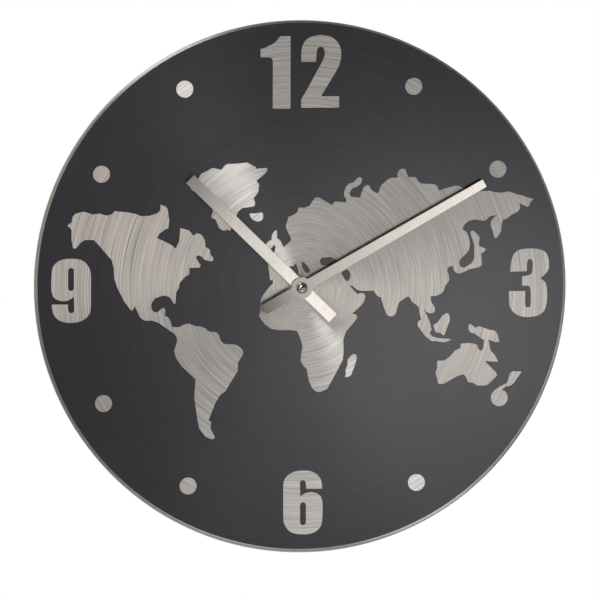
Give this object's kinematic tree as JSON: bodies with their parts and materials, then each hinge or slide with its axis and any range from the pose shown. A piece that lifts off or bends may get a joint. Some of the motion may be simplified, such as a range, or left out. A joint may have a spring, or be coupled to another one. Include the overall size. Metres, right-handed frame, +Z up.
{
  "type": "world map wall clock",
  "caption": "Round wall clock with a brushed metal dial, dark world-map print, bar hands and a quartz movement behind the dial that hangs from a keyhole tab.",
  "frame": {"origin": "where the axis of the hands meets the wall plane, on the flat back of the movement's cover", "axes": "+Z up to the twelve, +X to the three as seen from the front, +Y into the wall; the dial faces -Y"},
  "size_m": [0.3, 0.0298, 0.3],
  "materials": {
    "brushed_dial": "turned on a lathe with fine circular brushing",
    "dial_ink": "dark grey screen print, satin",
    "hand_aluminium": "brushed along the hand",
    "brass": "turned, bare",
    "chrome": "polished",
    "plated_steel": "nickel plated",
    "rubber": "moulded, matt",
    "gear_plastic": "moulded acetal, natural",
    "plate_plastic": "moulded, satin",
    "case_plastic": "moulded, fine matt grain",
    "magnet": "sintered",
    "copper": "enamelled copper wire",
    "board": "solder mask",
    "chip": "potting resin",
    "cell_can": "plain sleeve"
  },
  "bodies": {
    "clock": {"dial_plate": "brushed_dial", "dial_print": "dial_ink", "fixing_nut": "brass", "fixing_washer": "plated_steel", "dial_gasket": "rubber", "centre_bush": "brass", "middle_plate": "plate_plastic", "train_bridge": "plate_plastic", "stator_plate": "plated_steel", "coil_core": "plated_steel", "coil_bobbin": "plate_plastic", "coil_winding": "copper", "circuit_board": "board", "quartz_can": "plated_steel", "driver_chip": "chip", "case_front": "case_plastic", "case_back": "case_plastic", "contact_plus": "plated_steel", "contact_minus": "plated_steel"},
    "minute": {"minute_hand": "hand_aluminium", "cap_nut": "chrome", "minute_arbor": "brass", "clutch_spring": "plated_steel"},
    "hour": {"hour_hand": "hand_aluminium", "hour_collet": "brass", "hour_wheel": "gear_plastic"},
    "work": {"minute_work_wheel": "gear_plastic"},
    "setting": {"setting_pinion": "gear_plastic", "setting_knob": "case_plastic"},
    "seconds": {"seconds_wheel": "gear_plastic"},
    "third": {"third_wheel": "gear_plastic"},
    "centre": {"centre_wheel": "gear_plastic"},
    "intermediate": {"intermediate_wheel": "gear_plastic"},
    "rotor": {"rotor_pinion": "gear_plastic", "rotor_magnet": "magnet"},
    "cell": {"battery_cell": "cell_can"}
  },
  "joints": [
    {"name": "minute_turn", "type": "hinge", "parent": "clock", "child": "minute", "pos_m": [0, -0.0077, 0], "axis": [0, 1, 0], "continuous": true},
    {"name": "hour_turn", "type": "hinge", "parent": "clock", "child": "hour", "pos_m": [0, -0.0077, 0], "axis": [0, 1, 0], "continuous": true},
    {"name": "work_turn", "type": "hinge", "parent": "clock", "child": "work", "pos_m": [-0.007, -0.0077, 0], "axis": [0, 1, 0], "continuous": true},
    {"name": "setting_turn", "type": "hinge", "parent": "clock", "child": "setting", "pos_m": [-0.0154, -0.0077, 0], "axis": [0, 1, 0], "continuous": true},
    {"name": "rotor_turn", "type": "hinge", "parent": "clock", "child": "rotor", "pos_m": [0.01351, -0.0077, -0.0018], "axis": [0, 1, 0], "continuous": true},
    {"name": "intermediate_turn", "type": "hinge", "parent": "clock", "child": "intermediate", "pos_m": [0.00831, -0.0077, -0.0048], "axis": [0, 1, 0], "continuous": true},
    {"name": "seconds_turn", "type": "hinge", "parent": "clock", "child": "seconds", "pos_m": [0, -0.0077, 0], "axis": [0, 1, 0], "continuous": true},
    {"name": "third_turn", "type": "hinge", "parent": "clock", "child": "third", "pos_m": [-0.00084, -0.0077, 0.00956], "axis": [0, 1, 0], "continuous": true},
    {"name": "centre_turn", "type": "hinge", "parent": "clock", "child": "centre", "pos_m": [0, -0.0077, 0], "axis": [0, 1, 0], "continuous": true},
    {"name": "cell_slide", "type": "slide", "parent": "clock", "child": "cell", "axis": [0, 1, 0], "range_m": [0, 0.02]}
  ],
  "couplings": [
    {"joint": "hour_turn", "follows": "minute_turn", "ratio": 0.083333},
    {"joint": "work_turn", "follows": "minute_turn", "ratio": -0.33333},
    {"joint": "setting_turn", "follows": "minute_turn", "ratio": 0.55556},
    {"joint": "intermediate_turn", "follows": "rotor_turn", "ratio": -0.25},
    {"joint": "seconds_turn", "follows": "rotor_turn", "ratio": 0.033333},
    {"joint": "third_turn", "follows": "rotor_turn", "ratio": -0.0041667},
    {"joint": "centre_turn", "follows": "rotor_turn", "ratio": 0.00055556}
  ]
}
